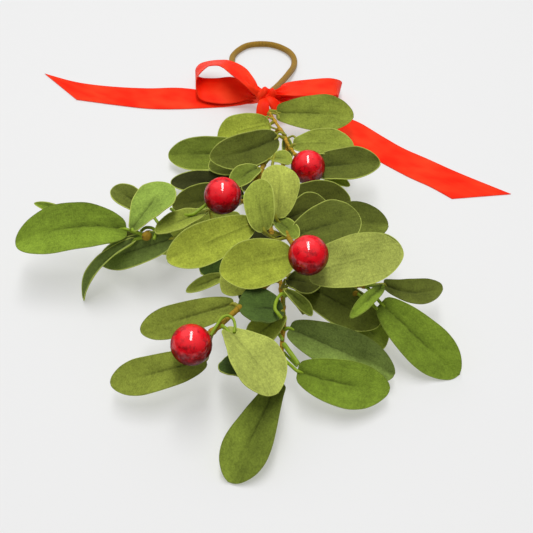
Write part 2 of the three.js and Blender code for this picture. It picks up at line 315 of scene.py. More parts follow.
def leaf_cloth(name, tint_name, sunk):
    """Woven leaf cloth, from the side where the midrib is sunk in or from the one where it stands out."""
    shader = Shader(name, Specular_IOR_Level=0.12, Sheen_Weight=0.03, Sheen_Roughness=0.5)
    cloth = shader.map()
    along, across, _ = shader.parts(cloth)
    share = shader.attribute("share")
    tint = shader.attribute(tint_name, "Color")
    rim_strength = shader.attribute(tint_name, "Alpha")

    # The print on the cloth, from the broadest clouds down to the threads.
    mottle = shader.noise(cloth, 0.20, 3.0)
    coarse = shader.noise(cloth, 0.75, 2.0, 0.6)
    grain = shader.noise(cloth, 1.6, 2.0, 0.75)
    streaks = shader.drawn_noise(cloth, (0.10, 0.95, 1.0), 3.0, 0.6)
    weave = (along * LEAF_THREADS).sine() * (across * LEAF_THREADS).sine()
    tone = -0.33 + 0.66 * mottle + 0.64 * coarse + 0.92 * grain + 0.46 * streaks + 0.06 * weave

    # The midrib: a broad valley, and in it a crease that wanders and breaks off. Both are printed darker,
    # and painted shade of the pressed groove darkens them more on the side where the midrib is sunk.
    wander = shader.drawn_noise(cloth, (0.25, 0.0, 1.0), 1.0) - 0.5
    off_rib = across + 1.1 * wander
    valley = off_rib.hill(1.9) * share.ramp(0.85, 0.35)
    crease = off_rib.hill(0.34 if sunk else 0.26) * share.ramp(0.74, 0.50)
    broken = shader.drawn_noise(cloth, (0.45, 0.3, 1.0), 2.0).ramp(0.30, 0.55)
    tone = tone * (1.0 - (0.22 if sunk else 0.06) * valley)
    tone = tone * (1.0 - (0.42 if sunk else 0.24) * crease * broken)

    # Darker at the base and lighter at the tip. Painted light and shade across the blade: one half lighter,
    # the other darker, as if its fold turned them to and from the light.
    tone = tone * (0.76 + 0.24 * share.ramp(0.0, 0.22)) * (0.97 + 0.08 * share.ramp(0.70, 1.0))
    tone = tone * (1.0 + shader.attribute("half_tone"))

    # The margin: the pale rim, the cut cloth's own pale edge and partly painted light where it catches the
    # light; where the rim's strength is low, a painted shadowed edge instead.
    edge = shader.attribute("margin").ramp(0.44, 0.16)
    tone = tone * (1.0 - 0.35 * edge * (1.0 - rim_strength))
    skin = shader.mix(edge * rim_strength, shader.scaled(tint, tone), opaque(settings("leaf").rim))
    height = 0.45 * weave + 1.1 * grain + 0.9 * coarse
    return shader.feed(Base_Color=skin, Roughness=0.72 + 0.16 * grain,
                       Normal=shader.bump(height, 0.16 * MM, 0.7))


def leaf_rim(name):
    """The cut edge of the cloth."""
    shader = Shader(name, Specular_IOR_Level=0.12)
    fray = shader.noise(shader.map(), 3.0, 2.0, 0.7)
    strength = shader.attribute("tint", "Alpha")
    tint = shader.scaled(shader.attribute("tint", "Color"), 0.8 + 0.5 * fray)
    skin = shader.mix(strength * (0.4 + 0.8 * fray), tint, opaque(settings("leaf").rim))
    return shader.feed(Base_Color=skin, Roughness=0.75 + 0.2 * fray)


def stalk_sheath(name, tint):
    """The plastic sheath on a leaf stalk."""
    shader = Shader(name, Specular_IOR_Level=0.25)
    route = shader.map()
    streak = shader.drawn_noise(route, (0.3, 4.0, 1.0), 2.0)
    tone = shader.scaled(tuple(tint), 0.45 + 0.9 * streak)
    return shader.feed(Base_Color=tone, Roughness=0.38 + 0.25 * streak,
                       Normal=shader.bump(streak, 0.08 * MM))


def berry_lacquer(name):
    """Deep red lacquer over a mottled ground, under a clear gloss."""
    berry = settings("berry")
    shader = Shader(name, Coat_Roughness=0.04, Specular_IOR_Level=0.02, Coat_IOR=1.68)
    place = shader.node("ShaderNodeTexCoord", {}, {}, "Object")
    clouds = shader.noise(place, 340.0, 4.0, 0.68)
    specks = shader.noise(place, 1100.0, 2.0)
    thick = shader.attribute("thick")
    # Painted light and shade: the red is lighter on the side that faces the window light and the camera and
    # deeper away from it, over the mottling.
    light = (clouds + 0.30 * (0.4 - thick)).ramp(0.36, 0.62)
    mottled = shader.mix(light, opaque(berry.deep), opaque(berry.bright))
    skin = shader.scaled(mottled, (0.90 + 0.20 * specks) * (1.06 - 0.84 * thick))

    # The gloss is whole at the crown and patchy further down.
    patches = shader.noise(place, 260.0, 2.0, 0.6).ramp(0.46, 0.60)
    crown = thick.ramp(0.16, 0.03)
    gloss = crown + (1.0 - crown) * (0.18 + 0.68 * patches) * (1.0 - 0.50 * thick)
    return shader.feed(Base_Color=skin, Roughness=0.28 + 0.20 * clouds, Coat_Weight=gloss)


def paper_tape(name, tint):
    """Crinkled paper tape wound round a wire: one sloping overlap at each turn."""
    stem = settings("stem")
    shader = Shader(name, Specular_IOR_Level=0.22)
    route = shader.map()
    along, turn, _ = shader.parts(route)
    winding = (along / (stem.pitch / MM) + turn).fraction()
    fibres = shader.drawn_noise(route, (1.1, 14.0, 1.0), 3.0, 0.65)
    blotches = shader.drawn_noise(route, (0.35, 1.5, 1.0), 2.0)
    # Painted shade: the tape is darker in the step where each turn laps over the one before, over its fibres
    # and blotches.
    overlap = winding.ramp(0.16, 0.0)
    depth = (0.75 * fibres + 0.45 * blotches) * (1.0 - 0.7 * overlap)
    skin = shader.mix(depth.ramp(0.18, 0.72), opaque(stem.shade), opaque(tint))
    height = winding * 0.8 + fibres * 0.7
    return shader.feed(Base_Color=skin, Roughness=0.62 + 0.25 * fibres,
                       Normal=shader.bump(height, 0.16 * MM, 0.9))


def wound_cord(name):
    """Fine cord wound closely round the wire of the hanging loop."""
    stem = settings("stem")
    shader = Shader(name, Specular_IOR_Level=0.2, Sheen_Weight=0.15)
    route = shader.map()
    along, turn, _ = shader.parts(route)
    winding = (along / (stem.cord_pitch / MM) + turn).fraction()
    crown = (winding * math.pi).sine()
    fibres = shader.drawn_noise(route, (3.0, 9.0, 1.0), 3.0, 0.7)
    patches = shader.drawn_noise(route, (0.2, 1.0, 1.0), 2.0)
    # Painted light and shade: each turn is lighter on its crown and darker between the turns, over the
    # cord's fibres and patches.
    light = crown * 0.55 + 0.35 * fibres + 0.35 * patches
    skin = shader.mix(light.ramp(0.15, 1.0), opaque(stem.cord_shade), opaque(stem.cord))
    return shader.feed(Base_Color=skin, Roughness=0.75 + 0.2 * fibres,
                       Normal=shader.bump(crown + 0.5 * fibres, 0.14 * MM, 0.8))


def satin(name):
    """Red satin: long floats and drifting bands with painted sheen, and a firmer woven edge on both sides.
    """
    ribbon = settings("ribbon")
    shader = Shader(name, Specular_IOR_Level=0.05)
    cloth = shader.map()
    _, across, _ = shader.parts(cloth)
    half = 0.5 * ribbon.width / MM
    floats = shader.drawn_noise(cloth, (0.10, 5.0, 1.0), 3.0, 0.6)
    drift = shader.drawn_noise(cloth, (0.07, 0.10, 1.0), 2.0)
    threads = (across * SATIN_THREADS).sine()
    selvage = abs(across).ramp(half - 0.75, half - 0.45)
    cord = (abs(across) - (half - 0.35)).hill(0.22)
    # Painted sheen: where the drift and the floats run high the satin turns lighter, towards the sheen
    # colour.
    bright = (0.7 * drift + 0.3 * floats).ramp(0.32, 0.70)
    tone = 0.86 + 0.06 * floats + 0.16 * drift - 0.06 * selvage
    skin = shader.scaled(shader.mix(bright, opaque(ribbon.satin), opaque(ribbon.painted_sheen)), tone)
    height = 0.5 * floats + 0.12 * threads + 1.6 * cord
    return shader.feed(Base_Color=skin, Roughness=0.34 + 0.16 * floats + 0.12 * selvage,
                       Normal=shader.bump(height, 0.06 * MM, 0.7))


def table_top(name):
    """Matt white board, a little cloudy, that glows faintly."""
    stage = settings("stage")
    shader = Shader(name, Specular_IOR_Level=0.1, Emission_Strength=stage.floor_glow, Emission_Color=WHITE)
    place = shader.node("ShaderNodeTexCoord", {}, {}, "Object")
    clouds = shader.noise(place, 3.0, 2.0)
    tone = shader.scaled(tuple(stage.floor), 0.985 + 0.03 * clouds)
    return shader.feed(Base_Color=tone, Roughness=0.55 + 0.05 * clouds)


# ---- what the frame says ------------------------------------------------------------------------------

STEM_REACH = 1.5 * MM        # corners of one ring of a CAD tube are nearer to each other than this
RIBBON_REACH = 0.6 * MM      # and the two corners at one edge of a CAD ribbon than this


def merged(node):
    """A CAD node's corners, and for each the corners it is joined to, from a merged copy of its mesh."""
    shape = bmesh.new()
    shape.from_mesh(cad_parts[node].data)
    bmesh.ops.remove_doubles(shape, verts=shape.verts, dist=0.001 * MM)
    shape.verts.index_update()
    places = [corner.co.copy() for corner in shape.verts]
    joined = [{edge.other_vert(corner).index for edge in corner.link_edges} for corner in shape.verts]
    shape.free()
    return places, joined


def layers(joined, first):
    """The corners in layers, each one step further from the first ones."""
    found = [set(first)]
    seen = set(first)
    while found[-1]:
        ahead = set().union(*(joined[corner] for corner in found[-1])) - seen
        seen |= ahead
        found.append(ahead)
    return found[:-1]


def middle(points):
    return sum(points, Vector()) / len(points)


def metres(points):
    """Points that are given in millimetres."""
    return [Vector(point) * MM for point in points]


def clusters(places, joined, reach):
    """Corners joined by edges shorter than reach, as groups, and which groups are joined."""
    group_of = [None] * len(places)
    groups = []
    for corner in range(len(places)):
        if group_of[corner] is not None:
            continue
        members = [corner]
        group_of[corner] = len(groups)
        for member in members:
            for other in joined[member]:
                if group_of[other] is None and (places[other] - places[member]).length < reach:
                    group_of[other] = len(groups)
                    members.append(other)
        groups.append(members)
    links = [{group_of[other] for member in members for other in joined[member]} - {index}
             for index, members in enumerate(groups)]
    return [middle([places[member] for member in members]) for members in groups], links


def centre_of(node):
    low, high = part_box(node)
    return (Vector(low) + Vector(high)) / 2


def tube_radius(node):
    """The radius of a CAD tube, from its first ring of corners."""
    places, joined = merged(node)
    ring = [0]
    for corner in ring:
        for other in joined[corner]:
            if other not in ring and (places[other] - places[corner]).length < STEM_REACH:
                ring.append(other)
    centre = middle([places[corner] for corner in ring])
    return max((places[corner] - centre).length for corner in ring)


def tube_route(node):
    """The centre line of a CAD tube, from one end to the other."""
    centres, links = clusters(*merged(node), STEM_REACH)
    end = min(range(len(centres)), key=lambda ring: len(links[ring]))
    return [centres[next(iter(layer))] for layer in layers(links, [end])]


def ribbon_edges(node):
    """A CAD ribbon's two edges, each from one end to the other."""
    points, links = clusters(*merged(node), RIBBON_REACH)
    fewest = min(len(link) for link in links)
    first = next(index for index, link in enumerate(links) if len(link) == fewest)
    partner = next(index for index in links[first] if len(links[index]) == fewest)
    edges = ([points[first]], [points[partner]])
    for layer in layers(links, [first, partner])[1:]:
        one, other = (points[index] for index in layer)
        straight = (one - edges[0][-1]).length + (other - edges[1][-1]).length
        crossed = (one - edges[1][-1]).length + (other - edges[0][-1]).length
        if crossed < straight:
            one, other = other, one
        edges[0].append(one)
        edges[1].append(other)
    return edges


# ---- smooth lines -------------------------------------------------------------------------------------

def smooth(places, values, at):
    """Reads a smooth curve through values, which are numbers or points given at rising places."""
    last = len(places) - 1
    index = max(0, min(last - 1, sum(place <= at for place in places) - 1))

    def slope(k):
        before, after = max(0, k - 1), min(last, k + 1)
        return (values[after] - values[before]) / (places[after] - places[before])

    step = places[index + 1] - places[index]
    t = min(1.0, max(0.0, (at - places[index]) / step))
    rest = 1.0 - t
    start = values[index] * (rest * rest * (1 + 2 * t)) + slope(index) * (step * t * rest * rest)
    end = values[index + 1] * (t * t * (3 - 2 * t)) - slope(index + 1) * (step * t * t * rest)
    return start + end


class Line:
    """A smooth line through points, read by the distance along it."""

    def __init__(self, points):
        self.points = [Vector(p) for p in points]
        self.marks = [0.0]
        for before, after in itertools.pairwise(self.points):
            self.marks.append(self.marks[-1] + (after - before).length)
        self.length = self.marks[-1]

    def at(self, distance):
        return smooth(self.marks, self.points, distance)

    def heading(self, distance):
        step = 0.2 * MM
        low, high = max(0.0, distance - step), min(self.length, distance + step)
        return (self.at(high) - self.at(low)).normalized()

    def nearest(self, place):
        """The distance along the line that is nearest to a place, and how far off the place is."""
        steps = 120
        tries = [self.length * k / steps for k in range(steps + 1)]
        best = min(tries, key=lambda distance: (self.at(distance) - place).length)
        return best, (self.at(best) - place).length


# ---- pieces -------------------------------------------------------------------------------------------

SHARP_FOLD = math.radians(60.0)          # folds sharper than this keep their edge


def only(piece):
    """Makes a piece the only selected one."""
    bpy.ops.object.select_all(action="DESELECT")
    bpy.context.view_layer.objects.active = piece
    piece.select_set(True)


def sheet_blank(name, rows, columns):
    """A flat unit sheet of faces, its rows along X."""
    bpy.ops.object.select_all(action="DESELECT")
    bpy.ops.mesh.primitive_grid_add(x_subdivisions=rows, y_subdivisions=columns, size=1.0)
    piece = bpy.context.object
    piece.name = piece.data.name = name
    return piece


def copied(blank, name):
    piece = blank.copy()
    piece.data = blank.data.copy()
    piece.name = piece.data.name = name
    bpy.context.collection.objects.link(piece)
    return piece


def lay(piece, place, cloth):
    """Lays a unit sheet: place gives a point and cloth its map, for shares along 0..1 and across -1..1."""
    spots = [(corner.co.x + 0.5, 2.0 * corner.co.y) for corner in piece.data.vertices]
    for corner, spot in zip(piece.data.vertices, spots):
        corner.co = place(*spot)
    sheet_map = piece.data.uv_layers["UVMap"].data
    for loop in piece.data.loops:
        sheet_map[loop.index].uv = cloth(*spots[loop.vertex_index])
    return spots


def note(piece, name, values):
    """Writes a number for each of a piece's corners, for its finish to read."""
    piece.data.attributes.new(name, "FLOAT", "POINT").data.foreach_set("value", values)


def edit(piece, *steps):
    """Runs mesh operators on the whole of a piece, in edit mode."""
    only(piece)
    bpy.ops.object.mode_set(mode="EDIT")
    bpy.ops.mesh.select_all(action="SELECT")
    for step in steps:
        step()
    bpy.ops.object.mode_set(mode="OBJECT")


def join_doubles():
    bpy.ops.mesh.remove_doubles(threshold=0.0005 * MM)


def face_outwards():
    bpy.ops.mesh.normals_make_consistent(inside=False)


def thicken(piece, thickness, offset, under=0, rim=0):
    """Gives a sheet its thickness; under and rim number the materials of its far side and its edge."""
    only(piece)
    wall = piece.modifiers.new("wall", "SOLIDIFY")
    wall.thickness = thickness
    wall.offset = offset
    wall.material_offset = under
    wall.material_offset_rim = rim
    bpy.ops.object.modifier_apply(modifier=wall.name)


def finish(piece, materials=(), replaced=()):
    """Gives a finished piece its materials and its body, and hides the CAD nodes that it stands for."""
    only(piece)
    bpy.ops.object.shade_smooth_by_angle(angle=SHARP_FOLD)
    for skin in materials:
        piece.data.materials.append(skin)
    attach(piece, BODY)
    if replaced:
        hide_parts(*replaced)


def rod(name, line, radius, sides, spacing):
    """A closed round rod along a line with rounded ends; radius is a function of the distance along it."""
    rows = max(8, round(line.length / spacing)) + 4
    cap = 1.5 / rows             # the share of the rod that rounds off each end
    bulge = 0.6                  # how far an end stands out, against its radius
    piece = sheet_blank(name, rows, sides)
    across = UP
    frames = []
    for row in range(rows + 1):
        share = row / rows
        inner = min(1.0, max(0.0, (share - cap) / (1.0 - 2.0 * cap)))
        distance = inner * line.length
        heading = line.heading(distance)
        across = (across - heading * across.dot(heading)).normalized()
        into_cap = min(1.0, min(share, 1.0 - share) / cap)
        swell = radius(distance)
        size = swell * math.sqrt(max(0.0, 1.0 - (1.0 - into_cap) ** 2))
        push = (1.0 - into_cap) * bulge * swell * (-1.0 if share < 0.5 else 1.0)
        frames.append((line.at(distance) + heading * push, heading, across, size, distance))

    def place(share, turn):
        centre, heading, side, size, _ = frames[round(share * rows)]
        angle = math.pi * turn
        return centre + (side * math.cos(angle) + heading.cross(side) * math.sin(angle)) * size

    def unrolled(share, turn):
        return frames[round(share * rows)][4] / MM, 0.5 + 0.5 * turn

    lay(piece, place, unrolled)
    edit(piece, join_doubles, face_outwards)
    return piece


# ---- leaves -------------------------------------------------------------------------------------------

LEAF_RING = 8                # corners round a CAD leaf
BLADE_SHARES = (0.02, 0.12, 0.26, 0.42, 0.58, 0.72, 0.84, 0.94)         # where its rings lie along the blade
BLUNT_SHAPE = (0.42, 0.72, 0.90, 0.97, 0.0, 0.0, 0.0, 0.0)              # half widths of a blunt base there

LEAF_TONES = {
    # The first, nearly black tone is painted shade on leaves that fill the deepest gaps in the bunch.
    "dusk": ("crown_leaf_6", "small_leaf_10", "small_leaf_12"),
    "deep": ("left_leaf_6", "right_leaf_2", "right_leaf_11", "small_leaf_2", "small_leaf_15"),
    "pine": ("lower_leaf_5", "lower_leaf_7", "small_leaf_3", "small_leaf_13"),
    "dark": ("crown_leaf_3", "crown_leaf_4", "crown_leaf_8", "left_leaf_5", "right_leaf_1", "right_leaf_3",
             "right_leaf_5", "right_leaf_9", "small_leaf_5", "small_leaf_9"),
    "moss": ("centre_leaf_4", "crown_leaf_5", "lower_leaf_1", "right_leaf_10", "small_leaf_6",
             "small_leaf_7", "small_leaf_11"),
    "slate": ("left_leaf_3", "left_leaf_4", "right_leaf_7"),
    "green": ("left_leaf_2", "right_leaf_4", "right_leaf_6", "right_leaf_8", "small_leaf_1"),
    "olive": ("centre_leaf_2", "centre_leaf_3", "crown_leaf_1", "crown_leaf_7", "left_leaf_7",
              "lower_leaf_3", "lower_leaf_4", "lower_leaf_6", "lower_leaf_8", "small_leaf_8",
              "small_leaf_14"),
    "fresh": ("left_leaf_1", "left_leaf_8"),
    "silver": ("berry_leaf_3", "lower_leaf_2"),
    "light": ("berry_leaf_1", "berry_leaf_2", "centre_leaf_5", "crown_leaf_2"),
    "pale": ("centre_leaf_1", "small_leaf_4"),
}
TONE_OF = {name: tone for tone, names in LEAF_TONES.items() for name in names}
UNDER_SIDE_UP = {"berry_leaf_1", "berry_leaf_2", "berry_leaf_3", "centre_leaf_1", "centre_leaf_2",
                 "centre_leaf_5", "crown_leaf_2", "crown_leaf_7", "lower_leaf_2", "small_leaf_4"}
# These leaves get a painted shadowed edge in place of the pale rim.
DARK_RIMMED = {"crown_leaf_1", "left_leaf_2", "lower_leaf_1", "lower_leaf_3", "lower_leaf_4", "lower_leaf_5",
               "right_leaf_3", "right_leaf_4", "right_leaf_5", "right_leaf_6", "right_leaf_7",
               "right_leaf_8", "small_leaf_13"}
DARK_RIM = 0.12              # how strongly the pale rim shows on such a leaf
PALE_RIM = 0.85              # and on the others
ABOVE_TABLE = 0.45 * MM      # no blade's upper side lies lower than this

# Leaves bound in out of sight: they show no stalk between the stem and the blade.
BOUND_IN = {"berry_leaf_1", "centre_leaf_1", "centre_leaf_2"}
YOUNG_STALKS = {"left_leaf_1", "left_leaf_2", "left_leaf_3", "left_leaf_5", "left_leaf_6", "lower_leaf_2",
                "lower_leaf_5", "right_leaf_3", "right_leaf_4", "right_leaf_6", "right_leaf_7",
                "right_leaf_8"}

# How a blade differs from the others: its width against the CAD leaf, how blunt its base is (drawn out if
# below 0), how far its two halves are folded up, how much painted light one half gets and painted shade the
# other, and how far its base and its tip are moved, in millimetres.
STILL = (0.0, 0.0, 0.0)
USUAL_SHAPE = (1.0, 0.5, 0.06, 0.05)
LEAF_SHAPES = {
    "berry_leaf_1": (0.94, 0.5, 0.05, 0.05),
    "berry_leaf_2": (1.02, 0.7, 0.05, 0.05, (0.4, -2.6, 0.0), (0.0, -1.6, 0.0)),
    "centre_leaf_1": (1.06, 0.5, 0.05, 0.05, (-0.6, 1.0, -2.0)),
    "centre_leaf_2": (1.0, 1.0, 0.02, 0.03, (0.7, -9.7, 0.5), (2.0, -3.0, 3.5)),
    "crown_leaf_1": (1.04, 0.2, 0.08, 0.08, (-1.6, -0.8, 0.0)),
    "crown_leaf_3": (1.0, 0.9, 0.06, -0.05, (0.6, -1.9, 0.0)),
    "crown_leaf_5": (1.0, 0.9, 0.06, 0.05),
    "crown_leaf_8": (1.0, 0.9, 0.06, -0.05),
    "left_leaf_1": (1.0, -0.5, 0.03, 0.03, (-1.4, 0.4, 0.0)),
    "left_leaf_2": (1.0, 0.8, 0.05, 0.10),
    "left_leaf_3": (0.60, 0.2, 0.45, 0.16),
    "left_leaf_4": (1.0, 0.9, 0.05, 0.05, (1.5, -7.0, 11.0), (0.0, -4.0, 4.0)),
    "lower_leaf_1": (1.0, 0.1, 0.12, -0.16),
    "lower_leaf_2": (1.18, -0.5, 0.04, 0.04, (0.3, 0.3, 0.0), (-1.8, -0.6, 0.0)),
    "lower_leaf_3": (1.0, 0.8, 0.06, -0.05),
    "lower_leaf_4": (1.0, 0.9, 0.06, -0.05),
    "lower_leaf_8": (0.84, 0.0, 0.06, 0.05),
    "right_leaf_3": (1.0, 0.5, 0.08, -0.20),
    "right_leaf_4": (1.0, 0.5, 0.12, 0.12),
    "right_leaf_5": (1.0, 0.3, 0.10, 0.05),
    "right_leaf_6": (0.72, 0.7, 0.30, 0.05),
    "right_leaf_7": (1.0, 0.5, 0.10, -0.26),
}

# Small leaves that fill the bunch out: blade base, blade tip and width in millimetres, and roll in degrees.
SMALL_LEAVES = (
    ((-66.0, -19.5, 14.5), (-88.4, -9.4, 16.0), 3.8, -50.0),
    ((-47.0, -27.0, 14.0), (-64.3, -21.3, 9.0), 7.0, -30.0),
    ((-3.0, -31.0, 15.0), (-22.7, -41.3, 10.0), 12.0, -20.0),
    ((-2.0, -51.0, 22.0), (-13.2, -62.0, 20.5), 11.0, -20.0),
    ((33.0, -33.0, 17.0), (52.0, -38.4, 18.5), 9.0, 25.0),
    ((13.0, 21.5, 11.0), (36.1, 10.2, 8.5), 5.5, 25.0),
    ((8.3, -60.5, 21.0), (18.0, -68.5, 16.0), 4.5, 20.0),
    ((3.7, 20.0, 14.6), (12.6, 18.4, 14.2), 8.5, 0.0),
    ((10.3, 40.5, 10.0), (11.3, 24.0, 10.0), 5.0, 0.0),
    ((8.0, -18.0, 7.0), (-10.0, -24.5, 7.0), 11.0, 0.0),
    ((5.0, -30.0, 27.0), (12.9, -41.8, 27.0), 7.6, 0.0),
    ((6.0, 14.0, 8.0), (-8.0, 8.0, 8.0), 12.0, 0.0),
    ((7.9, -70.0, 20.0), (-7.6, -71.6, 23.0), 17.5, 0.0),
    ((-20.1, -22.8, 24.0), (-38.4, -36.8, 25.5), 9.5, 0.0),
    ((9.0, -51.7, 17.0), (21.1, -56.2, 17.0), 13.0, 0.0),
)


class Blade:
    """Where one blade lies: its centre line and half widths from base to tip, and its two directions."""

    def __init__(self, stalk, centres, halves, lift, tip, along, side, shape=USUAL_SHAPE):
        width, blunt, self.vee, self.half_tone, *moves = shape
        at_base, at_tip = metres((*moves, STILL, STILL)[:2])
        centres = [centre + at_base.lerp(at_tip, share) for centre, share in zip(centres, BLADE_SHARES)]
        tip = tip + at_tip
        widest = max(halves)
        if blunt < 0.0:
            halves = [width * half * (1.0 + blunt * (1.0 - share) ** 3)
                      for half, share in zip(halves, BLADE_SHARES)]
        else:
            halves = [width * max(half, half + blunt * (widest * BLUNT_SHAPE[k] - half))
                      for k, half in enumerate(halves)]
        self.stalk = stalk
        self.shares = (0.0, *BLADE_SHARES, 1.0)
        base = centres[0].lerp(centres[1], -0.2)         # the blade's own base lies before its first ring
        self.centres = [base, *centres, tip]
        heel = 0.62 * halves[0]                  # half the blade's width where its stalk comes in
        self.squares = [heel * heel, *(half * half for half in halves), 0.0]
        self.lift = lift
        self.facing = along.cross(side).normalized()
        self.side = side
        if self.facing.z < 0.0:
            self.facing.negate()
            self.side = -side
        self.length = (tip - base).length

    def centre(self, share):
        return smooth(self.shares, self.centres, share)

    def half(self, share):
        return math.sqrt(max(0.0, smooth(self.shares, self.squares, share)))


def measured_blade(node):
    """A blade read from the rings of its CAD node."""
    places, joined = merged(node)
    for tip, around in enumerate(joined):
        rings = layers(joined, [tip])[1:]
        if len(around) == LEAF_RING and all(len(ring) == LEAF_RING for ring in rings):
            break
    else:
        raise RuntimeError(node + " has no tip")
    rings = [[places[corner] for corner in ring] for ring in reversed(rings)]
    count = len(BLADE_SHARES)
    stalk = [middle(ring) for ring in rings[:-count]]
    centres, halves, lifts, sides = [], [], [], []
    for ring in rings[-count:]:
        one, other = max(itertools.combinations(ring, 2), key=lambda pair: (pair[0] - pair[1]).length)
        side = (one - other).normalized()
        between = (one + other) / 2
        inner = sorted(ring, key=lambda corner: abs((corner - between).dot(side)))[:2]
        centres.append(middle(inner))
        halves.append((one - other).length / 2)
        lifts.append((between - centres[-1]).length)
        sides.append(side)
    widest = max(range(count), key=lambda k: halves[k])
    along = (places[tip] - centres[0]).normalized()
    side = sides[widest]
    side = (side - along * side.dot(along)).normalized()
    return Blade(stalk, centres, halves, lifts[widest] / halves[widest], places[tip], along, side,
                 LEAF_SHAPES.get(node, USUAL_SHAPE))


def small_blade(base, tip, width, roll):
    """A blade from its own sizes, for the leaves that have no CAD node."""
    bow = 1.2 * MM               # how high its middle line is arched
    cupped = 0.14                # how high its edges stand, against half its width
    thinnest = 0.5 * MM
    base, tip = metres((base, tip))
    along = (tip - base).normalized()
    level = (UP - along * along.z).normalized()
    side = level.cross(along)
    turn = math.radians(roll)
    side = side * math.cos(turn) + along.cross(side) * math.sin(turn)
    shape = [math.sin(math.pi * share ** 1.45) ** 0.55 for share in BLADE_SHARES]
    halves = [max(0.5 * width * MM * part, thinnest) for part in shape]
    centres = [base.lerp(tip, share) + level * (bow * 4 * share * (1 - share)) for share in BLADE_SHARES]
    return Blade([], centres, halves, cupped, tip, along, side)


def crowd(blank):
    """Crowds a blank's rows at both ends, and its columns at the midrib and the edges."""
    for corner in blank.data.vertices:
        share = corner.co.x + 0.5
        across = min(1.0, abs(2.0 * corner.co.y))
        rounded = 0.3 * (1.0 - math.cos(math.pi * across)) + 0.4 * across
        corner.co.x = -0.5 * math.cos(math.pi * share)
        corner.co.y = math.copysign(0.5 * rounded, corner.co.y)


def lay_leaf(blank, name, blade, upside):
    """One cloth blade with a pressed midrib, soft wrinkles and waving edges; upside is -1 if turned over."""
    leaf = settings("leaf")
    draw = random.Random(name)
    phase, second_phase = draw.random(), draw.random()
    twist = draw.uniform(-0.10, 0.10)
    vee = blade.vee * draw.uniform(0.6, 1.4)
    curl = draw.uniform(-0.6, 1.0) * MM
    strip = draw.uniform(0.0, 500.0)
    shade = draw.uniform(0.95, 1.05)
    rim = DARK_RIM if name in DARK_RIMMED else PALE_RIM

    def groove(share, reach):
        """The midrib's depth, fading out towards the tip and into the stalk."""
        off_rib = reach / leaf.midrib_width
        fade = max(0.0, min(1.0, (0.85 - share) / 0.35)) * min(1.0, share / 0.05)
        return leaf.midrib_depth * math.exp(-off_rib * off_rib) * fade * upside

    def wave(share, across, half):
        """A long wave and a shorter one along each edge, higher where the blade is wide."""
        long = math.sin(2 * math.pi * (1.25 * share + phase) + across)
        short = math.sin(2 * math.pi * (3.1 * share + second_phase) - 2 * across)
        return leaf.ripple * across * across * (half / (8 * MM)) * (long + 0.4 * short)

    def place(share, across):
        half = blade.half(share)
        reach = across * half
        cup = blade.lift * half * abs(across) ** 1.5 + vee * half * abs(across)
        cockle = Vector((share * blade.length / (6 * MM), reach / (4 * MM), strip))
        cup += leaf.wrinkle * noise.noise(cockle)
        bend = curl * max(0.0, share - 0.55) ** 2 * 4.0 + twist * reach * (share - 0.3)
        rise = cup + wave(share, across, half) + bend - groove(share, reach)
        spot = blade.centre(share) + blade.side * reach + blade.facing * rise
        spot.z = max(spot.z, ABOVE_TABLE)
        return spot

    def cloth(share, across):
        return strip + share * blade.length / MM, across * blade.half(share) / MM

    piece = copied(blank, name + "_cloth")
    spots = lay(piece, place, cloth)
    paint_leaf(piece, spots, [cloth(*spot) for spot in spots], TONE_OF[name], shade, rim, upside)
    # Painted light on one half of the blade and painted shade on the other.
    note(piece, "half_tone", [blade.half_tone * math.tanh(6.0 * across) for _, across in spots])
    edit(piece, join_doubles)
    for skin in leaf_materials(upside):
        piece.data.materials.append(skin)
    thicken(piece, leaf.thickness, -1.0, 1, 2)
    return piece


def paint_leaf(piece, spots, flat, tone, shade, rim, upside):
    """Writes the share along the blade, the distance to its outline and the colours of its two sides."""
    nearly = 0.999
    outline = [k for k, (share, across) in enumerate(spots) if abs(across) > nearly or share > nearly]
    tree = kdtree.KDTree(len(outline))
    for index in outline:
        tree.insert((*flat[index], 0.0), index)
    tree.balance()
    leaf = settings("leaf")
    top = Vector(getattr(leaf, tone)) * shade
    other = Vector(leaf.dark if upside < 0 else leaf.light) * shade
    note(piece, "share", [share for share, _ in spots])
    note(piece, "margin", [tree.find((*spot, 0.0))[2] for spot in flat])
    for attribute, tint in (("tint", top), ("under_tint", other)):
        layer = piece.data.attributes.new(attribute, "FLOAT_COLOR", "POINT")
        layer.data.foreach_set("color", [*tint, rim] * len(spots))


def leaf_materials(upside):
    """The three finishes of a blade: the side that faces up, the one below and the cut edge."""
    if upside > 0:
        above, below = ("leaf_upper", "tint", True), ("leaf_lower", "under_tint", False)
    else:
        above, below = ("leaf_lower_up", "tint", False), ("leaf_upper_down", "under_tint", True)
    sides = [material(name, leaf_cloth, tint_name, sunk) for name, tint_name, sunk in (above, below)]
    return [*sides, material("leaf_rim", leaf_rim)]


def sheath(tint):
    """The sheath of a leaf stalk, in one of the leaf settings' colours."""
    return material(tint + "_sheath", stalk_sheath, getattr(settings("leaf"), tint))


def tape(tint):
    """The tape round a stem, in one of the stem settings' colours."""
    return material("paper_" + tint, paper_tape, getattr(settings("stem"), tint))


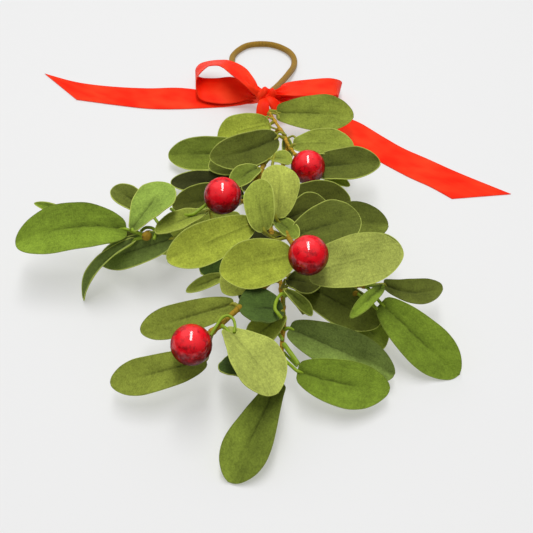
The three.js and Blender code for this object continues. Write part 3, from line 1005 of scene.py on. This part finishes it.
def stalk_line(blade, upside, stems):
    """From inside the nearest stem, along the CAD stalk, and on along the blade's back.

    Gives the line, and how far along it the blade begins. A stalk joins its stem across a small gap. A blade
    with no CAD stalk gets one across a wider gap too, and there it sags.
    """
    joins, crosses = 6 * MM, 14 * MM
    points = [*blade.stalk, blade.centre(0.0)]
    start = points[0]
    anchor = min((stem.at(stem.nearest(start)[0]) for stem in stems), key=lambda spot: (spot - start).length)
    gap = (anchor - start).length
    if gap < joins:
        points.insert(0, anchor)
    elif gap < crosses and not blade.stalk:
        points[:0] = [anchor, anchor.lerp(start, 0.5) - UP * (0.3 * gap)]
    for share, depth in ((0.08, 1.10), (0.18, 1.00), (0.32, 0.85)):
        offset = -depth if upside > 0 else -0.30
        points.append(blade.centre(share) + blade.facing * (offset * MM))
    line = Line(points)
    return line, line.nearest(blade.centre(0.0))[0]


def leaf_stalk(name, blade, upside, stems):
    """The stalk of a leaf: a flared foot on the stem, a slim neck, and a taper under the blade."""
    radius = settings("leaf").stalk_radius
    line, neck = stalk_line(blade, upside, stems)
    sides, spacing = 10, 0.8 * MM

    def swell(distance):
        foot = 0.55 * math.exp(-(distance / (1.6 * MM)) ** 2)
        beyond = max(0.0, (distance - neck) / max(line.length - neck, MM))
        return radius * (1.0 + foot) * (1.0 - 0.75 * beyond)

    piece = rod(name + "_stalk", line, swell, sides, spacing)
    piece.data.materials.append(sheath("stalk" if name in YOUNG_STALKS else "old_stalk"))
    return piece


# ---- leaf, stem and loop operators --------------------------------------------------------------------

STEMS = ("main_stem", "centre_stem", "upper_berry_stem", "middle_berry_stem", "lower_berry_stem",
         "left_stem", "right_stem")
BERRIES = ("berry_1", "berry_2", "berry_3", "berry_4")
STEM_BULK = {"main_stem": 0.62, "centre_stem": 0.78}      # tape bulk against the CAD stem's radius
USUAL_BULK = 0.86            # and on the other stems
CORD_BULK = 1.20             # the same for the cord on the hanging loop
CORD_UNEVEN = 0.06           # and how far it swells and thins
STEM_ROOT = ((2.6, 62.5, 5.0), (2.9, 59.0, 8.6))          # the main stem comes out from under the knot


def stem_lines():
    """Each stem's centre line, from the bow towards the leaves."""
    lines = {}
    knot = centre_of("bow_knot")
    for name in STEMS:
        route = tube_route(name)
        if (route[-1] - knot).length < (route[0] - knot).length:
            route.reverse()
        lines[name] = Line(route)
    return lines


def leaf_blades():
    blades = {node: measured_blade(node) for node in sorted(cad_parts) if "_leaf_" in node}
    blades.update({f"small_leaf_{number}": small_blade(*sizes)
                   for number, sizes in enumerate(SMALL_LEAVES, 1)})
    return blades


class MISTLETOE_OT_leaves(bpy.types.Operator):
    """Lays every cloth leaf on its CAD leaf and gives it its stalk"""
    bl_idname = "mistletoe.leaves"
    bl_label = "Leaves"

    def execute(self, context):
        leaf = settings("leaf")
        blank = sheet_blank("leaf_blank", leaf.rows, leaf.columns)
        crowd(blank)
        stems = list(stem_lines().values())
        for name, blade in leaf_blades().items():
            upside = -1.0 if name in UNDER_SIDE_UP else 1.0
            if name in BOUND_IN:
                blade.stalk = []
            piece = lay_leaf(blank, name, blade, upside)
            stalk = leaf_stalk(name, blade, upside, stems)
            only(piece)
            stalk.select_set(True)
            bpy.ops.object.join()
            finish(piece, replaced=[name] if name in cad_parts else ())
        bpy.data.objects.remove(blank)
        return {"FINISHED"}


class MISTLETOE_OT_stems(bpy.types.Operator):
    """Winds paper tape round every stem, with a knuckle at each leaf stalk"""
    bl_idname = "mistletoe.stems"
    bl_label = "Stems"

    def execute(self, context):
        stem = settings("stem")
        spacing = 0.7 * MM
        lines = stem_lines()
        starts = [blade.stalk[0] if blade.stalk else blade.centres[0] for blade in leaf_blades().values()]
        owners = {name: [] for name in STEMS}
        for start in starts:
            name = min(STEMS, key=lambda each: lines[each].nearest(start)[1])
            owners[name].append(lines[name].nearest(start)[0])
        for name in STEMS:
            radius = tube_radius(name)
            line, shift = rooted(name, lines)
            knuckles = [mark + shift for mark in owners[name]]

            def swell(distance):
                bumps = sum(math.exp(-((distance - mark) / stem.knuckle_reach) ** 2) for mark in knuckles)
                uneven = 0.07 * noise.noise(Vector((distance / (3 * MM), radius / MM, len(name))))
                return radius * (STEM_BULK.get(name, USUAL_BULK) + uneven) + stem.knuckle * min(bumps, 1.2)

            piece = rod(name + "_wrapped", line, swell, stem.sides, spacing)
            finish(piece, [tape("old_tape" if "berry" in name else "tape")], [name])
        return {"FINISHED"}


def rooted(name, lines):
    """A stem's line run on into what holds it, and into its berry, with how much was added at its start."""
    line = lines[name]
    points = list(line.points)
    if name == "main_stem":
        points[:2] = metres(STEM_ROOT)
    else:
        others = [other for other in STEMS if other != name]
        anchors = [lines[other].at(lines[other].nearest(points[0])[0]) for other in others]
        anchor = min(anchors, key=lambda spot: (spot - points[0]).length)
        points.insert(0, anchor)
    shift = Line(points).nearest(line.points[-1])[0] - line.length
    near, inside = 9 * MM, 6 * MM        # a berry's centre from the CAD stem's end, and from this one's
    gap = min((centre_of(berry) - points[-1] for berry in BERRIES), key=lambda way: way.length)
    if gap.length < near:
        points.append(points[-1] + gap.normalized() * (gap.length - inside))
    return Line(points), shift


# Bare leaf stalks in the bunch, and cut ends of taped wires: radius, colour and points, in millimetres.
BARE_STALKS = (
    (0.6, "stalk", ((8.8, -62.0, 19.0), (7.2, -64.3, 22.5), (5.4, -69.5, 24.5), (4.9, -73.7, 25.0),
                    (6.0, -75.5, 24.5), (7.0, -76.4, 23.5))),
    (0.8, "old_stalk", ((8.7, -54.2, 15.0), (11.8, -60.6, 15.5), (15.2, -65.5, 14.0))),
    (0.5, "stalk", ((-16.3, -86.2, 26.0), (-14.4, -83.2, 27.5), (-12.8, -80.5, 28.0), (-10.8, -79.4, 28.0),
                    (-9.1, -80.5, 27.5), (-8.4, -83.2, 27.0), (-8.7, -85.4, 26.5))),
    (0.6, "stalk", ((38.3, -66.3, 20.0), (40.3, -68.6, 19.5))),
    (0.6, "stalk", ((33.2, -57.1, 17.0), (35.5, -62.5, 19.0), (38.1, -65.3, 19.5))),
    (0.6, "stalk", ((-33.9, -21.7, 24.0), (-30.2, -25.9, 25.0), (-25.6, -27.0, 26.0), (-21.6, -24.0, 27.0),
                    (-19.8, -22.9, 28.0))),
    (0.45, "old_stalk", ((0.5, 50.3, 12.0), (2.2, 50.7, 13.0), (4.4, 48.3, 13.5))),
    (0.45, "old_stalk", ((6.0, 40.6, 14.0), (3.9, 41.3, 14.5), (3.5, 44.1, 14.0))),
    (0.45, "old_stalk", ((5.6, 35.0, 14.0), (7.3, 36.5, 15.5), (10.2, 34.5, 15.5))),
    (0.45, "old_stalk", ((11.0, 31.8, 16.0), (13.1, 31.8, 17.0), (15.1, 28.5, 17.0))),
    (0.45, "old_stalk", ((4.4, 53.3, 13.0), (7.0, 50.5, 14.0), (7.4, 47.6, 14.0))),
    (0.85, "stalk", ((8.0, -78.6, 12.5), (10.4, -83.0, 12.5), (12.7, -86.6, 11.5))),
    (0.6, "stalk", ((7.7, -76.3, 12.0), (6.3, -74.0, 12.5), (5.3, -70.8, 12.0))),
    (0.5, "stalk", ((8.0, -80.2, 10.0), (10.2, -82.8, 9.4), (12.5, -84.7, 8.0))),
    (0.6, "old_stalk", ((3.8, 11.8, 14.0), (4.6, 17.0, 15.0), (5.5, 22.2, 15.0))),
    (0.6, "stalk", ((-44.1, -33.9, 24.0), (-42.3, -33.1, 25.0), (-39.6, -33.6, 25.0), (-38.6, -35.5, 24.5),
                    (-39.0, -38.1, 24.0))),
    (0.6, "stalk", ((-42.5, -35.0, 21.5), (-50.0, -30.5, 16.5), (-59.0, -24.5, 14.0), (-67.0, -19.3, 14.4))),
    (0.6, "stalk", ((26.4, -50.4, 13.4), (28.5, -45.0, 12.0), (31.0, -38.0, 14.5), (33.6, -33.3, 16.7))),
)
TAPED_STUBS = (
    (1.7, "old_tape", ((-40.9, -32.8, 21.0), (-41.4, -35.0, 23.2), (-41.9, -37.3, 24.5))),
    (1.1, "old_tape", ((-2.6, 2.8, 17.0), (-1.4, 4.1, 18.0), (-0.2, 6.5, 17.5))),
    (1.2, "old_tape", ((33.2, -57.4, 17.0), (33.6, -60.1, 18.0))),
)


class MISTLETOE_OT_bare_stalks(bpy.types.Operator):
    """Adds the leaf stalks that show without their leaf, and the cut ends of taped wires"""
    bl_idname = "mistletoe.bare_stalks"
    bl_label = "Bare stalks"

    def execute(self, context):
        sides, spacing = 12, 0.6 * MM
        for word, bits, cover, slot in (("bare_stalk", BARE_STALKS, sheath, "leaf_cloth"),
                                        ("taped_stub", TAPED_STUBS, tape, "stem_wrap")):
            for number, (radius, tint, points) in enumerate(bits, 1):
                piece = rod(f"{word}_{number}", Line(metres(points)), lambda _: radius * MM, sides, spacing)
                finish(piece, [cover(tint)])
        return {"FINISHED"}


class MISTLETOE_OT_loop(bpy.types.Operator):
    """Winds cord round the wire of the hanging loop"""
    bl_idname = "mistletoe.loop"
    bl_label = "Hanging loop"

    def execute(self, context):
        route = tube_route("hanging_loop")
        knot = centre_of("bow_knot")
        radius = tube_radius("hanging_loop")
        lift = UP * ((CORD_BULK + CORD_UNEVEN - 1.0) * radius)
        bound_in = [end.lerp(knot, 0.6) for end in (route[0], route[-1])]
        line = Line([spot + lift for spot in (bound_in[0], *route, bound_in[1])])
        sides, spacing = 18, 0.8 * MM

        def swell(distance):
            return radius * (CORD_BULK + CORD_UNEVEN * noise.noise(Vector((distance / (5 * MM), 0.5, 0.5))))

        piece = rod("hanging_loop_cord", line, swell, sides, spacing)
        finish(piece, [material("wound_cord", wound_cord)], ["hanging_loop"])
        return {"FINISHED"}


# ---- berries ------------------------------------------------------------------------------------------

SOCKET_RADIUS = 1.4 * MM     # the hole that a berry's stem goes into
LACQUER_INSET = 0.06 * MM    # how far the lacquer keeps inside the CAD ball
LIT_SIDE = Vector((0.0, -0.35, 0.94))        # the side of a berry that faces halfway between the window light and the camera, where its highlight falls


def berry_shade(out, radius):
    """Painted shade on a berry, 0 to 1: none on the side that faces the light and the camera, most away from
    them.
    """
    level = out.dot(LIT_SIDE) / radius
    return max(0.0, min(1.0, 0.92 - 0.95 * level))


class MISTLETOE_OT_berries(bpy.types.Operator):
    """Turns each lacquered berry with its socket to its stem and its dimple away from it"""
    bl_idname = "mistletoe.berries"
    bl_label = "Berries"

    def execute(self, context):
        berry = settings("berry")
        ends = [line.points[-1] for line in stem_lines().values()]
        for number, node in enumerate(BERRIES):
            low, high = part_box(node)
            centre = centre_of(node)
            radius = max(top - bottom for top, bottom in zip(high, low)) / 2
            stem_end = min(ends, key=lambda end: (end - centre).length)
            axis = (centre - stem_end).normalized()
            turned = axis.to_track_quat("Z", "Y").to_euler()
            bpy.ops.object.select_all(action="DESELECT")
            bpy.ops.mesh.primitive_uv_sphere_add(segments=72, ring_count=48, radius=radius,
                                                 location=centre, rotation=turned)
            piece = bpy.context.object
            piece.name = piece.data.name = node + "_lacquered"
            bpy.ops.object.transform_apply(location=True, rotation=True, scale=True)
            for corner in piece.data.vertices:
                out = (corner.co - centre).normalized()
                uneven = berry.unevenness * noise.noise(out * 2.2 + Vector((number * 3.7, 0.0, 0.0)))
                blossom = math.exp(-((out - axis).length * radius / berry.dimple_radius) ** 2)
                socket = math.exp(-((out + axis).length * radius / SOCKET_RADIUS) ** 2)
                sunk = berry.dimple_depth * blossom + berry.socket_depth * socket
                corner.co = centre + out * (radius - LACQUER_INSET + uneven - sunk)
            note(piece, "thick", [berry_shade(corner.co - centre, radius)
                                  for corner in piece.data.vertices])
            finish(piece, [material("berry_lacquer", berry_lacquer)], [node])
        return {"FINISHED"}


# ---- ribbon -------------------------------------------------------------------------------------------

# Loose ends at the knot, from inside it outwards: centre and width across, in millimetres.
TONGUE = (((1.2, 70.6, 8.6), 3.4), ((1.0, 68.4, 9.7), 4.0), ((0.8, 66.2, 10.3), 4.7),
          ((0.4, 63.4, 9.8), 5.4), ((0.2, 61.0, 8.0), 5.8), ((0.4, 59.8, 6.0), 5.6),
          ((1.3, 60.2, 4.2), 5.2), ((2.2, 62.5, 3.0), 4.6))
STRAND = (((2.6, 70.4, 9.4), 3.2), ((3.7, 68.4, 10.6), 4.0), ((5.1, 66.2, 10.2), 4.8),
          ((6.8, 64.6, 8.4), 5.2), ((9.0, 64.8, 6.2), 5.8), ((12.8, 67.0, 3.9), 6.0))
KNOT_CENTRE = (1.7, 71.5, 9.4)
KNOT_SIZES = (3.0, 3.3, 3.9)             # its radius level and upwards, and half its length
INTO_KNOT = 0.55                         # how far towards the knot's middle every strand runs on
TURN_PULL = (3.2, 0.0, 1.0)              # how far the left loop's near edge leans in where it turns
TABLE_GAP = 0.2 * MM                     # the ribbon's middle lies at least so high
RIBBON_COLUMNS = 26


def flat_map(length, width):
    """The map of a strip of cloth: millimetres along it and out from its middle, as it lies flat."""
    return lambda share, across: (share * length / MM, across * width / (2 * MM))


def from_knot(node):
    """A CAD ribbon's two edges, from the knot outwards, the first edge being the further one."""
    edges = ribbon_edges(node)
    knot = centre_of("bow_knot")
    if (edges[0][-1] - knot).length < (edges[0][0] - knot).length:
        edges = tuple(edge[::-1] for edge in edges)
    if edges[0][0].y < edges[1][0].y:
        edges = edges[::-1]
    return edges


def leaned_in(edge):
    """The left loop's near edge leans in about half way round."""
    turn, reach = 0.51, 0.06
    return [spot + Vector(TURN_PULL) * (MM * math.exp(-((k / len(edge) - turn) / reach) ** 2))
            for k, spot in enumerate(edge)]


def ribbon_strip(name, far, near, rows, closed):
    """A strip of ribbon between its two edges, in pleats where it runs into the knot.

    A closed strip is a bow loop, which runs into the knot at both ends. The strip's length comes with it.
    """
    ribbon = settings("ribbon")
    far, near = Line(far), Line(near)
    centre = Line([(a + b) / 2 for a, b in zip(far.points, near.points)])
    phase = random.Random(name).random()

    def edges(share):
        return far.at(share * far.length), near.at(share * near.length)

    def pleat(share, width):
        """How high the pleats stand: enough to take up the width that is gathered in."""
        distance = share * centre.length
        if closed:
            distance = min(distance, centre.length - distance)
        reach = max(0.0, 1.0 - distance / ribbon.gather_reach)
        fold = math.sqrt(max(0.0, ribbon.width ** 2 - width ** 2)) / (4.0 * ribbon.pleats)
        return fold * reach * reach * (3.0 - 2.0 * reach)

    def place(share, across):
        one, other = edges(share)
        step = 0.004
        ahead = edges(min(1.0, share + step))
        behind = edges(max(0.0, share - step))
        forward = sum(ahead, Vector()) - sum(behind, Vector())
        normal = (one - other).cross(forward).normalized()
        width = (one - other).length
        fold = pleat(share, width) * math.cos(math.pi * ribbon.pleats * (across + 1.0) + phase)
        spot = other.lerp(one, 0.5 + 0.5 * across) + normal * fold
        spot.z = max(spot.z, TABLE_GAP)
        return spot

    piece = sheet_blank(name, rows, RIBBON_COLUMNS)
    lay(piece, place, flat_map(centre.length, ribbon.width))
    thicken(piece, ribbon.thickness, 0.0)
    edit(piece, face_outwards)
    return piece, centre.length


class MISTLETOE_OT_ribbon(bpy.types.Operator):
    """Ties the satin bow: two loops, two tails, the knot round them and the loose ends at it"""
    bl_idname = "mistletoe.ribbon"
    bl_label = "Ribbon"

    def execute(self, context):
        ribbon = settings("ribbon")
        skin = [material("satin", satin)]
        knot = centre_of("bow_knot")
        for node, rows, closed in (("ribbon_tail_left", 90, False), ("ribbon_tail_right", 100, False),
                                   ("bow_loop_left", 120, True), ("bow_loop_right", 110, True)):
            far, near = ([edge[0].lerp(knot, INTO_KNOT), *edge] for edge in from_knot(node))
            if node == "bow_loop_left":
                near = leaned_in(near)
            if closed:
                far.append(far[-1].lerp(knot, INTO_KNOT))
                near.append(near[-1].lerp(knot, INTO_KNOT))
            piece, laid = ribbon_strip(node + "_satin", far, near, rows, closed)
            finish(piece, skin, [node])
        self.tie(skin)
        for name, stations, right_share in (("knot_tongue_satin", TONGUE, 1.35),
                                            ("knot_strand_satin", STRAND, 1.0)):
            piece, laid = folded_strip(name, stations, right_share)
            finish(piece, skin)
        return {"FINISHED"}

    def tie(self, skin):
        """The knot: a band of ribbon once round the gathered strands, its pleats running round it."""
        ribbon = settings("ribbon")
        rows, columns = 96, 40
        piece = sheet_blank("bow_knot_satin", rows, columns)
        centre = Vector(KNOT_CENTRE) * MM
        level_radius, up_radius, half = (size * MM for size in KNOT_SIZES)
        round_about = math.pi * (level_radius + up_radius)

        def place(share, across):
            """Round the strands: shoulders at both sides, pleats, one slanting crease and a slight lean."""
            turn = 2.0 * math.pi * share
            shoulder = math.cos(0.5 * math.pi * 0.80 * abs(across) ** 2.2)
            pleats = ribbon.knot_pleat * math.cos(2.6 * math.pi * across + 1.3 * math.sin(turn) + 0.6)
            crease = ribbon.knot_crease * math.exp(-((across - 0.45 * math.sin(turn - 0.7)) / 0.16) ** 2)
            swell = pleats * (1.0 - across ** 6) - crease
            lean = 0.5 * MM * math.sin(turn)
            narrow = 1.0 + 0.16 * math.cos(turn - 0.9)
            level = -math.cos(turn) * (level_radius * shoulder + swell)
            rise = math.sin(turn) * (up_radius * shoulder + swell)
            return centre + Vector((across * half * narrow + lean, level, rise))

        lay(piece, place, flat_map(round_about, ribbon.width))
        edit(piece, join_doubles)
        thicken(piece, ribbon.thickness, -1.0)
        edit(piece, face_outwards)
        finish(piece, skin, ["bow_knot"])


def folded_profile(reach, width, fold):
    """Where a point of the flat ribbon comes to lie: along the top, round the fold, and back under."""
    flat = abs(reach)
    top = width / 2 - fold
    bend = math.pi * fold
    if flat < top:
        return reach, 0.0
    if flat < top + bend:
        angle = (flat - top) / fold
        return math.copysign(top + fold * math.sin(angle), reach), -fold * (1.0 - math.cos(angle))
    back = flat - top - bend
    rise = 0.12                  # the turned-in edge climbs towards the top layer
    return math.copysign(top - back, reach), -2.0 * fold + rise * back


def folded_strip(name, stations, right_share):
    """A strip of ribbon with both long edges folded in under it, along a line of given widths.

    right_share is 1 where as much of the ribbon lies to the right of the line as to the left, and more where
    more does. The strip's length comes with it.
    """
    ribbon = settings("ribbon")
    line = Line(metres(spot for spot, _ in stations))
    widths = [width * MM for _, width in stations]
    rows, columns = 60, 48
    thinner = 0.7                # against the rest of the ribbon
    side, face = Vector((1.0, 0.15, 0.0)), UP
    frames = []
    for row in range(rows + 1):
        distance = line.length * row / rows
        heading = line.heading(distance)
        side = (side - heading * side.dot(heading)).normalized()
        turned = side.cross(heading).normalized()
        face = turned if turned.dot(face) >= 0.0 else -turned
        frames.append((line.at(distance), side, face, smooth(line.marks, widths, distance)))

    def place(share, across):
        centre, side, face, width = frames[round(share * rows)]
        reach = across * ribbon.width / 2
        shifted = reach * (right_share if reach > 0 else 2.0 - right_share)
        out, down = folded_profile(shifted, width, ribbon.fold)
        ripple = ribbon.knot_pleat * 0.5 * math.sin(2.2 * math.pi * out / width + 3.0 * share + right_share)
        out = max(-width / 2, min(width / 2, out))
        return centre + side * out + face * (down + ripple)

    piece = sheet_blank(name, rows, columns)
    lay(piece, place, flat_map(line.length, ribbon.width))
    thicken(piece, ribbon.thickness * thinner, 0.0)
    edit(piece, face_outwards)
    return piece, line.length


# ---- stage --------------------------------------------------------------------------------------------

LAMPS = {                    # place and size, in metres
    "softbox": ((-0.20, 0.60, 0.90), (1.6, 1.2)),
    "window": ((0.0, 0.08, 0.95), (0.18, 1.0)),
}
LIT_SPOT = (0.0, -30.0, 10.0)            # what the lamps are turned to, in millimetres
SEEN_SPOT = (2.0, -28.3, 0.0)            # and the camera


class MISTLETOE_OT_stage(bpy.types.Operator):
    """Sets up the table top, the soft light and the camera"""
    bl_idname = "mistletoe.stage"
    bl_label = "Stage"

    def execute(self, context):
        stage = settings("stage")
        bpy.ops.object.select_all(action="DESELECT")
        bpy.ops.mesh.primitive_plane_add(size=stage.floor_size)
        floor = bpy.context.object
        floor.name = "table_top"
        floor.data.materials.append(material("table_top", table_top))

        context.scene.world = self.room(stage)
        context.scene.view_settings.view_transform = "Standard"

        for name, (place, size) in LAMPS.items():
            light = bpy.data.lights.new(name, "AREA")
            light.shape = "RECTANGLE"
            light.size, light.size_y = size
            light.energy = getattr(stage, name)
            self.stand(light, Vector(place), Vector(LIT_SPOT) * MM)

        seen = Vector(SEEN_SPOT) * MM
        back = Vector((0.0, -math.cos(stage.elevation), math.sin(stage.elevation)))
        lens = bpy.data.cameras.new("camera")
        lens.lens = stage.lens
        context.scene.camera = self.stand(lens, seen + back * stage.distance, seen)
        return {"FINISHED"}

    def stand(self, data, place, target):
        """Puts a lamp or the camera at a place, turned to its target."""
        thing = bpy.data.objects.new(data.name, data)
        bpy.context.scene.collection.objects.link(thing)
        thing.location = place
        thing.rotation_euler = (target - place).to_track_quat("-Z", "Y").to_euler()
        return thing

    def room(self, stage):
        """Light from all round: strong from above and behind, weak from low in front."""
        world = bpy.data.worlds.new("room")
        world.use_nodes = True
        nodes = Nodes(world.node_tree)
        background = world.node_tree.nodes["Background"]
        direction = nodes.node("ShaderNodeTexCoord", {}, {}, "Generated")
        _, back, up = nodes.parts(direction)
        glow = (0.45 * back + 0.9 * up).ramp(-0.35, 0.9)
        strength = stage.room_low + (stage.room_high - stage.room_low) * glow
        seen = nodes.node("ShaderNodeLightPath", {}, {}, "Is Camera Ray")
        strength = strength + seen * (stage.backdrop - strength)
        nodes.tree.links.new(strength.end, background.inputs["Strength"])
        background.inputs["Color"].default_value = WHITE
        return world


# ---- the panel and the script -------------------------------------------------------------------------

GROUPS = {"leaf": LeafSettings, "berry": BerrySettings, "stem": StemSettings, "ribbon": RibbonSettings,
          "stage": StageSettings}
STEPS = (MISTLETOE_OT_stage, MISTLETOE_OT_stems, MISTLETOE_OT_bare_stalks, MISTLETOE_OT_loop,
         MISTLETOE_OT_leaves, MISTLETOE_OT_berries, MISTLETOE_OT_ribbon)


class MISTLETOE_PT_panel(bpy.types.Panel):
    """The steps that dress the bunch, and their settings"""
    bl_idname = "MISTLETOE_PT_panel"
    bl_label = "Mistletoe Bunch"
    bl_space_type = "VIEW_3D"
    bl_region_type = "UI"
    bl_category = "Mistletoe"

    def draw(self, context):
        for step in STEPS:
            self.layout.operator(step.bl_idname)
        for name, group in GROUPS.items():
            box = self.layout.box()
            box.label(text=name.title())
            for field in group.__annotations__:
                box.prop(getattr(context.scene, "mistletoe_" + name), field)


CLASSES = (*GROUPS.values(), *STEPS, MISTLETOE_PT_panel)


def register():
    for each in CLASSES:
        bpy.utils.register_class(each)
    for name, group in GROUPS.items():
        setattr(bpy.types.Scene, "mistletoe_" + name, PointerProperty(type=group))


def unregister():
    for name in GROUPS:
        delattr(bpy.types.Scene, "mistletoe_" + name)
    for each in reversed(CLASSES):
        bpy.utils.unregister_class(each)


def main():
    register()
    bpy.ops.mistletoe.stage()
    bpy.ops.mistletoe.stems()
    bpy.ops.mistletoe.bare_stalks()
    bpy.ops.mistletoe.loop()
    bpy.ops.mistletoe.leaves()
    bpy.ops.mistletoe.berries()
    bpy.ops.mistletoe.ribbon()


if __name__ == "__main__":
    main()
